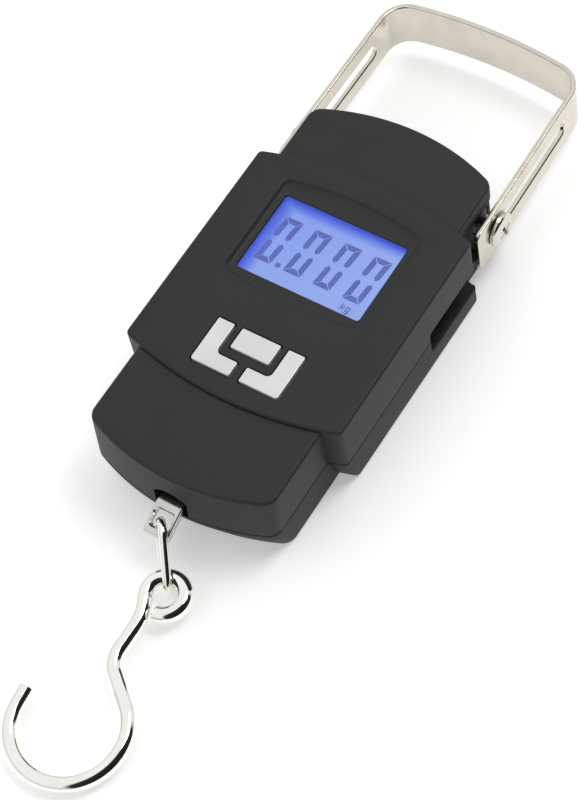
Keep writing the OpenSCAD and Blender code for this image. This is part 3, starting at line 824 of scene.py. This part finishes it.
def hook_bracket():
    """A plate with a bent end: its eye has two limbs and a round bar across."""
    half = BRACKET_T / 2
    rings = []
    flat = rounded(rectangle((-BRACKET_X, -half), (BRACKET_X, half)), PLATE_EDGE, 4)
    for y in (bracket_high.y, PIN_Y, BEND_Y + BEND_LEAD):
        rings.append([(x, y, LOAD_Z + z) for x, z in flat])
    for i in range(1, BEND_PARTS):
        lean = BEND * i / BEND_PARTS
        rings.append([(x, BEND_Y + BEND_LEAD - 0.3 * i - z * math.sin(lean),
                       LOAD_Z + z * math.cos(lean) - 0.02 * i * i) for x, z in flat])
    rings.append([on_tab(x, -TAB_ROOT, z) for x, z in flat])
    rings.append([on_tab(x, -TAB_L + 0.4, z) for x, z in flat])
    for i in range(7):
        a = math.radians(12.5 * i)
        high = half * math.cos(a)
        wide = BRACKET_X - 0.7 * (1 - math.cos(a))
        end = rounded(rectangle((-wide, -high), (wide, high)), min(PLATE_EDGE, high * 0.9), 4)
        rings.append([on_tab(x, -TAB_L - half * math.sin(a), z) for x, z in end])
    plate = loft("eye_bracket", rings)
    eye = rounded(rectangle((-EYE_X, -TAB_L + half), (EYE_X, -TAB_ROOT)), 1.1)
    flare = [(-half - 0.4, EYE_FLARE), (-half + 0.5, 0), (half - 0.5, 0), (half + 0.4, EYE_FLARE)]
    cut(plate, loft("eye", [[on_tab(x, y, z) for x, y in grown(eye, grow)] for z, grow in flare]))
    bore = prism("bore", circle((0, PIN_Y), PIN_BORE), [(LOAD_Z - 3, 0), (LOAD_Z + 3, 0)])
    cut(plate, bore)
    smooth(plate, 35)
    return plate


WIRE_FACETS = 32
WIRE_CHAMFER = 0.35


def tube(name, line, radius, closed=False):
    """A round wire along a line of points. Unless it is closed, its cut ends are chamfered."""
    count = len(line)
    normal = None
    rings = []
    for i, place in enumerate(line):
        before = line[i - 1] if closed or i else place
        after = line[(i + 1) % count] if closed or i < count - 1 else place
        along = (after - before).normalized()
        if normal is None:
            normal = along.orthogonal().normalized()
        normal = (normal - along * normal.dot(along)).normalized()
        rings.append((place, along, normal, radius))
    if not closed:
        place, along, normal, _ = rings[0]
        rings[0] = (place + along * WIRE_CHAMFER, along, normal, radius)
        rings.insert(0, (place, along, normal, radius - WIRE_CHAMFER))
        place, along, normal, _ = rings[-1]
        rings[-1] = (place - along * WIRE_CHAMFER, along, normal, radius)
        rings.append((place, along, normal, radius - WIRE_CHAMFER))
    solid = []
    for place, along, normal, r in rings:
        side = along.cross(normal)
        ring = []
        for j in range(WIRE_FACETS):
            a = 2 * math.pi * j / WIRE_FACETS
            ring.append(tuple(place + normal * r * math.cos(a) + side * r * math.sin(a)))
        solid.append(ring)
    return loft(name, solid, closed)


LINK_WIRE = 2.4
LINK_R = 3.8
# where the link hangs on the bracket's bar, and where the hook's eye meets the link
LIMB = Vector(on_tab(1.4, -TAB_L, 0))
GRIP = Vector((6.3, -77.67, 5))
LINK_ROLL = math.radians(-14)
LINK_END_STEPS = 24
LINK_SIDE_STEPS = 12


def link():
    reach = GRIP - LIMB
    yaw = math.atan2(reach.y, reach.x)
    pitch = -math.atan2(reach.z, math.hypot(reach.x, reach.y))
    turn = (Matrix.Rotation(yaw, 3, "Z") @ Matrix.Rotation(pitch, 3, "Y")
            @ Matrix.Rotation(LINK_ROLL, 3, "X"))
    steps = range(1, LINK_SIDE_STEPS)
    line = arc((reach.length, 0), LINK_R, -math.pi / 2, math.pi / 2, LINK_END_STEPS)
    line += [(reach.length * (1 - i / LINK_SIDE_STEPS), LINK_R) for i in steps]
    line += arc((0, 0), LINK_R, math.pi / 2, 3 * math.pi / 2, LINK_END_STEPS)
    line += [(reach.length * i / LINK_SIDE_STEPS, -LINK_R) for i in steps]
    return tube("chain_link", [LIMB + turn @ Vector((x, 0, z)) for x, z in line], LINK_WIRE / 2,
                closed=True)


HOOK_WIRE = 4.6
EYE_R = 5.33
EYE_END = math.radians(208.5)
EYE_SWEEP = math.radians(297)
HOOK_PITCH = math.radians(2.2)
# each bend is a radius and a turn in degrees, left positive; each straight is a length
HOOK_COURSE = [(0.95,), (17, -29.3), (6.4,), (8.1, 51.9), (8.8,), (15.3, -227), (4.9,)]
# each point of a bend is this many degrees on from the last
BEND_STEP = 4
EYE_STEPS = 60


def hook_course(place, heading):
    """Points of the hook's flat line below its eye."""
    line = []
    for move in HOOK_COURSE:
        if len(move) == 1:
            steps = max(2, round(move[0] / 2))
            along = Vector((math.cos(heading), math.sin(heading)))
            line += [place + along * move[0] * i / steps for i in range(1, steps + 1)]
            place = line[-1]
            continue
        radius, turn = move
        side = 1 if turn > 0 else -1
        centre = place + side * radius * Vector((-math.sin(heading), math.cos(heading)))
        steps = max(3, round(abs(turn) / BEND_STEP))
        for i in range(1, steps + 1):
            now = heading + math.radians(turn) * i / steps
            line.append(centre - side * radius * Vector((-math.sin(now), math.cos(now))))
        heading += math.radians(turn)
        place = line[-1]
    return line


def hook():
    line = [Vector(p) for p in arc((0, 0), EYE_R, EYE_END - EYE_SWEEP, EYE_END, EYE_STEPS)]
    line += hook_course(line[-1], EYE_END + math.pi / 2)
    away = (GRIP - LIMB).xy.normalized()
    pitch = Matrix.Rotation(HOOK_PITCH, 3, "X")
    placed = [GRIP + pitch @ Vector((p.x + EYE_R * away.x, p.y + EYE_R * away.y, 0)) for p in line]
    return tube("wire_hook", placed, HOOK_WIRE / 2)


# ---------- materials ----------

def set_stops(ramp, stops):
    """Gives a colour ramp its stops: pairs of a position and a colour."""
    elements = ramp.color_ramp.elements
    for element, (position, colour) in ((elements[-1], stops[-1]), (elements[0], stops[0])):
        element.position = position
        element.color = (*colour, 1)
    for position, colour in stops[1:-1]:
        elements.new(position).color = (*colour, 1)


class Recipe:
    """A material with a few helpers for its procedural nodes. Scales are in cycles per metre."""

    def __init__(self, name):
        self.material = bpy.data.materials.new(name)
        self.material.use_nodes = True
        self.tree = self.material.node_tree
        self.shader = self.tree.nodes["Principled BSDF"]
        self.place = self.tree.nodes.new("ShaderNodeTexCoord").outputs["Object"]

    def node(self, kind, **inputs):
        made = self.tree.nodes.new(kind)
        for name, value in inputs.items():
            self.feed(made.inputs[name], value)
        return made

    def feed(self, socket, value):
        if isinstance(value, bpy.types.NodeSocket):
            self.tree.links.new(value, socket)
        else:
            socket.default_value = value

    def stretched(self, scale):
        mapping = self.node("ShaderNodeMapping", Vector=self.place)
        mapping.inputs["Scale"].default_value = scale
        return mapping.outputs["Vector"]

    def noise(self, scale, detail=2.0, rough=0.5, place=None):
        made = self.node("ShaderNodeTexNoise", Vector=place or self.place, Scale=scale,
                         Detail=detail, Roughness=rough)
        return made.outputs["Fac"]

    def ramp(self, value, stops):
        made = self.node("ShaderNodeValToRGB", Fac=value)
        set_stops(made, stops)
        return made.outputs["Color"]

    def spread(self, value, low, high, start=0.3, end=0.7):
        made = self.tree.nodes.new("ShaderNodeMapRange")
        self.feed(made.inputs["Value"], value)
        made.inputs["From Min"].default_value = start
        made.inputs["From Max"].default_value = end
        made.inputs["To Min"].default_value = low
        made.inputs["To Max"].default_value = high
        return made.outputs["Result"]

    def bump(self, height, strength, distance):
        made = self.node("ShaderNodeBump", Height=height, Strength=strength, Distance=distance)
        self.feed(self.shader.inputs["Normal"], made.outputs["Normal"])

    def set(self, **inputs):
        for name, value in inputs.items():
            self.feed(self.shader.inputs[name.replace("_", " ")], value)


def tone(colour, factor):
    return tuple(min(c * factor, 1.0) for c in colour)


def moulded(name, colour, rough=0.5, grain=3200, depth=0.00004, vary=0.12, specular=0.5):
    """Moulded plastic or rubber: a fine texture, faint clouding and uneven gloss."""
    recipe = Recipe(name)
    cloud = recipe.noise(90, 3)
    recipe.set(Base_Color=recipe.ramp(cloud, [(0.3, tone(colour, 1 - vary)),
                                              (0.7, tone(colour, 1 + vary))]))
    recipe.set(Roughness=recipe.spread(recipe.noise(1300, 3), rough - 0.04, rough + 0.04))
    recipe.shader.inputs["Specular IOR Level"].default_value = specular
    recipe.bump(recipe.noise(grain, 2, 0.6), 0.35, depth)
    return recipe


def metal(name, colour, rough, streaks=(1, 1, 1), grain=900, vary=0.06, depth=0.00001):
    """Plated or drawn metal: streaks along the work, slight stains and an uneven polish."""
    recipe = Recipe(name)
    drawn = recipe.noise(grain, 3, 0.6, recipe.stretched(streaks))
    stain = recipe.noise(140, 3)
    recipe.set(Base_Color=recipe.ramp(stain, [(0.3, tone(colour, 1 - vary)),
                                              (0.7, tone(colour, 1 + vary))]))
    recipe.set(Roughness=recipe.spread(drawn, rough * 0.7, rough * 1.3))
    recipe.shader.inputs["Metallic"].default_value = 1.0
    recipe.bump(drawn, 0.12, depth)
    return recipe


def lit_display():
    """The display's glass, lit from behind: paler in the middle, deeper blue at its left and top."""
    recipe = Recipe("lit_display")
    split = recipe.node("ShaderNodeSeparateXYZ", Vector=recipe.place)
    left = recipe.spread(split.outputs["X"], 1.0, 0.0, -WINDOW_X * MM, (-WINDOW_X + 4.5) * MM)
    top = recipe.spread(split.outputs["Y"], 0.0, 1.0, (WINDOW_Y + WINDOW_HALF_Y - 3.5) * MM,
                        (WINDOW_Y + WINDOW_HALF_Y) * MM)
    edge = recipe.node("ShaderNodeMath")
    edge.operation = "MAXIMUM"
    recipe.feed(edge.inputs[0], left)
    recipe.feed(edge.inputs[1], top)
    across = recipe.tree.nodes.new("ShaderNodeVectorMath")
    across.operation = "DOT_PRODUCT"
    recipe.feed(across.inputs[0], recipe.place)
    across.inputs[1].default_value = (-0.7, 0.7, 0)
    slope = recipe.spread(across.outputs["Value"], -0.12, 0.22, -0.008, 0.026)
    shade = recipe.node("ShaderNodeMath")
    recipe.feed(shade.inputs[0], edge.outputs[0])
    recipe.feed(shade.inputs[1], slope)
    cloud = recipe.noise(70, 2)
    mixed = recipe.node("ShaderNodeMath")
    mixed.operation = "MULTIPLY_ADD"
    recipe.feed(mixed.inputs[0], cloud)
    mixed.inputs[1].default_value = 0.25
    recipe.feed(mixed.inputs[2], shade.outputs[0])
    glow = recipe.ramp(mixed.outputs[0], [(0.08, (0.33, 0.47, 0.96)), (0.35, (0.25, 0.39, 0.93)),
                                          (0.75, (0.1, 0.2, 0.88)), (1.0, (0.05, 0.12, 0.82))])
    recipe.set(Base_Color=(0.05, 0.07, 0.2, 1), Roughness=0.2)
    recipe.feed(recipe.shader.inputs["Emission Color"], glow)
    recipe.shader.inputs["Emission Strength"].default_value = 0.72
    return recipe


def segments():
    recipe = moulded("segments", (0.03, 0.04, 0.16), 0.3, grain=5000, depth=0.000004)
    glow = recipe.ramp(recipe.noise(300, 2), [(0.3, (0.05, 0.09, 0.38)), (0.7, (0.065, 0.115, 0.45))])
    recipe.feed(recipe.shader.inputs["Emission Color"], glow)
    recipe.shader.inputs["Emission Strength"].default_value = 0.8
    return recipe


def clear_pane():
    recipe = Recipe("clear_pane")
    recipe.set(Base_Color=recipe.ramp(recipe.noise(60, 2), [(0.3, (0.94, 0.95, 1)),
                                                            (0.7, (0.98, 0.98, 1))]))
    recipe.set(Roughness=recipe.spread(recipe.noise(700, 3), 0.02, 0.06))
    recipe.shader.inputs["Transmission Weight"].default_value = 1.0
    recipe.shader.inputs["IOR"].default_value = 1.3
    recipe.bump(recipe.noise(120, 1), 0.03, 0.00001)
    return recipe


def key_lacquer():
    """Satin silver lacquer with a fine sparkle."""
    recipe = moulded("key_lacquer", (0.8, 0.81, 0.82), 0.32, grain=7000, depth=0.000008, vary=0.05)
    recipe.shader.inputs["Metallic"].default_value = 0.25
    recipe.shader.inputs["Coat Weight"].default_value = 0.25
    recipe.shader.inputs["Coat Roughness"].default_value = 0.15
    return recipe


def board_laminate():
    """Green solder mask over copper tracks."""
    recipe = moulded("solder_mask", (0.02, 0.14, 0.05), 0.3, grain=1500, depth=0.00001)
    tracks = recipe.node("ShaderNodeTexBrick", Vector=recipe.place, Scale=260.0)
    tracks.inputs["Color1"].default_value = (0.02, 0.13, 0.05, 1)
    tracks.inputs["Color2"].default_value = (0.025, 0.16, 0.06, 1)
    tracks.inputs["Mortar"].default_value = (0.05, 0.25, 0.09, 1)
    recipe.set(Base_Color=tracks.outputs["Color"])
    return recipe


def materials():
    """Every slot's material."""
    made = {
        "case_plastic": moulded("case_plastic", (0.022, 0.0235, 0.023), 0.5, 2600, 0.00004, 0.035, 0.3),
        "rear_plastic": moulded("rear_plastic", (0.018, 0.0192, 0.019), 0.54, 2600, 0.00004, 0.035, 0.3),
        "window_plastic": clear_pane(),
        "lcd_glass": lit_display(),
        "lcd_segments": segments(),
        "white_plastic": moulded("white_plastic", (0.8, 0.8, 0.77), 0.45),
        "backlight_plastic": moulded("backlight_plastic", (0.6, 0.7, 1.0), 0.4),
        "connector_rubber": moulded("connector_rubber", (0.7, 0.33, 0.42), 0.7),
        "board_laminate": board_laminate(),
        "black_plastic": moulded("black_plastic", (0.02, 0.02, 0.02), 0.4),
        "capacitor_sleeve": moulded("capacitor_sleeve", (0.03, 0.05, 0.2), 0.3),
        "mat_rubber": moulded("mat_rubber", (0.12, 0.12, 0.13), 0.7),
        "key_plastic": key_lacquer(),
        "cell_aluminium": metal("cell_aluminium", (0.75, 0.76, 0.78), 0.3, (1, 8, 1), 1200),
        "lead_sleeve": moulded("lead_sleeve", (0.5, 0.03, 0.02), 0.35),
        "bracket_steel": metal("bracket_steel", (0.66, 0.65, 0.62), 0.22, (6, 1, 6), 700, 0.1),
        "handle_steel": metal("handle_steel", (0.7, 0.66, 0.58), 0.2, (6, 1, 6), 900, 0.06),
        "screw_steel": metal("screw_steel", (0.72, 0.69, 0.62), 0.2, (1, 1, 1), 1500, 0.06),
        "hook_chrome": metal("hook_chrome", (0.96, 0.96, 0.91), 0.07, (1, 1, 1), 500, 0.03),
        "battery_sleeve": moulded("battery_sleeve", (0.05, 0.12, 0.35), 0.25, 600),
        "contact_steel": metal("contact_steel", (0.72, 0.7, 0.66), 0.25),
        "label_film": moulded("label_film", (0.55, 0.55, 0.56), 0.35, 900, 0.000005),
    }
    return {slot: recipe.material for slot, recipe in made.items()}


# ---------- stage ----------

def studio_world():
    """A white tent, brightest overhead, with a wide dark opening on the right."""
    world = bpy.data.worlds.new("studio")
    bpy.context.scene.world = world
    world.use_nodes = True
    tree = world.node_tree
    place = tree.nodes.new("ShaderNodeTexCoord").outputs["Generated"]
    split = tree.nodes.new("ShaderNodeSeparateXYZ")
    tree.links.new(place, split.inputs["Vector"])
    towards = tree.nodes.new("ShaderNodeVectorMath")
    towards.operation = "DOT_PRODUCT"
    tree.links.new(place, towards.inputs[0])
    towards.inputs[1].default_value = (0.893, -0.157, 0.423)
    tent = [(0.0, 0.55), (0.2, 0.8), (0.6, 1.0), (0.8, 1.0)]
    opening = [(0.52, 1.0), (0.64, 0.03), (1.0, 0.015)]
    shares = []
    for source, stops in ((split.outputs["Z"], tent), (towards.outputs["Value"], opening)):
        ramp = tree.nodes.new("ShaderNodeValToRGB")
        tree.links.new(source, ramp.inputs["Fac"])
        set_stops(ramp, [(position, (value, value, value)) for position, value in stops])
        shares.append(ramp.outputs["Color"])
    product = tree.nodes.new("ShaderNodeVectorMath")
    product.operation = "MULTIPLY"
    for i, share in enumerate(shares):
        tree.links.new(share, product.inputs[i])
    tree.links.new(product.outputs["Vector"], tree.nodes["Background"].inputs["Color"])
    tree.nodes["Background"].inputs["Strength"].default_value = 0.9


def key_light():
    """A soft square light above and behind the case, aimed at its middle. Sizes in metres."""
    data = bpy.data.lights.new("key_light", "AREA")
    data.shape = "RECTANGLE"
    data.size = 0.35
    data.size_y = 0.35
    data.energy = 2.2
    lamp = bpy.data.objects.new("key_light", data)
    bpy.context.scene.collection.objects.link(lamp)
    place = Vector((0.25, 0.3, 0.8))
    lamp.location = place
    lamp.rotation_euler = (-place).to_track_quat("-Z", "Y").to_euler()


def floor(level):
    """A pale floor that is clear from below, so that the scale's back can be seen."""
    recipe = Recipe("pale_floor")
    recipe.set(Base_Color=recipe.ramp(recipe.noise(3, 2), [(0.3, (0.9, 0.9, 0.9)),
                                                           (0.7, (0.93, 0.93, 0.93))]))
    recipe.shader.inputs["Roughness"].default_value = 0.9
    recipe.shader.inputs["Emission Color"].default_value = (1, 1, 1, 1)
    recipe.shader.inputs["Emission Strength"].default_value = 0.35
    facing = recipe.tree.nodes.new("ShaderNodeNewGeometry").outputs["Backfacing"]
    clear = recipe.tree.nodes.new("ShaderNodeBsdfTransparent")
    mixed = recipe.tree.nodes.new("ShaderNodeMixShader")
    recipe.feed(mixed.inputs[0], facing)
    recipe.feed(mixed.inputs[1], recipe.shader.outputs[0])
    recipe.feed(mixed.inputs[2], clear.outputs[0])
    recipe.feed(recipe.tree.nodes["Material Output"].inputs["Surface"], mixed.outputs[0])
    reach = 3000
    ground = mesh_object("floor", at_height(rectangle((-reach, -reach), (reach, reach)), level),
                         [(0, 1, 2, 3)])
    ground.data.materials.append(recipe.material)


def camera():
    """A long lens above the lower right of the case, rolled a little."""
    data = bpy.data.cameras.new("camera")
    data.lens = 115.7
    data.clip_start = 0.05
    data.clip_end = 20
    azimuth = math.radians(43.9)
    elevation = math.radians(58.4)
    roll = math.radians(-13.7)
    distance = 0.7
    aim = Vector((2.6, -11.8, -6.4)) * MM
    back = Vector((math.sin(azimuth) * math.cos(elevation),
                   -math.cos(azimuth) * math.cos(elevation), math.sin(elevation)))
    watcher = bpy.data.objects.new("camera", data)
    bpy.context.scene.collection.objects.link(watcher)
    watcher.location = aim + back * distance
    turn = (-back).to_track_quat("-Z", "Y") @ Matrix.Rotation(roll, 3, "Z").to_quaternion()
    watcher.rotation_mode = "QUATERNION"
    watcher.rotation_quaternion = turn
    bpy.context.scene.camera = watcher


# ---------- making ----------

camera()
studio_world()
key_light()
bpy.context.scene.view_settings.view_transform = "Standard"

skins = materials()
for entry in frame["record"]["subparts"]:
    slot_material = skins[entry["material_slot"]]
    node_mesh = frame["nodes"][entry["node"]].data
    node_mesh.materials.clear()
    node_mesh.materials.append(slot_material)
# the yoke lies in the dark gap beside the arms; its steel is darkened near black as painted shade of
# that gap
painted_shade_steel = metal("painted_shade_steel", (0.05, 0.05, 0.052), 0.45).material
for name in ("handle_yoke", "yoke_pin"):
    frame["nodes"][name].data.materials[0] = painted_shade_steel

settle(front_cover(), "case", "case_plastic", skins["case_plastic"], "front_cover")
settle(rear_cover(), "case", "rear_plastic", skins["rear_plastic"], "rear_cover")
settle(battery_cover(), "battery_cover", "rear_plastic", skins["rear_plastic"], "battery_cover")
for name, outline in key_outlines().items():
    settle(key(name, outline), name, "key_plastic", skins["key_plastic"], name)
settle(window_pane(), "case", "window_plastic", skins["window_plastic"], "display_window")
settle(lcd_digits(), "case", "lcd_segments", skins["lcd_segments"], "lcd_digits")
settle(handle(), "handle", "handle_steel", skins["handle_steel"], "handle")
for side, name in ((-1, "handle_screw_left"), (1, "handle_screw_right")):
    settle(handle_screw(side), "case", "screw_steel", skins["screw_steel"], name)
settle(hook_bracket(), "case", "bracket_steel", skins["bracket_steel"], "hook_bracket")
settle(link(), "link", "hook_chrome", skins["hook_chrome"], "link")
settle(hook(), "hook", "hook_chrome", skins["hook_chrome"], "hook")

floor(cad_box[0].z / MM - 0.02)
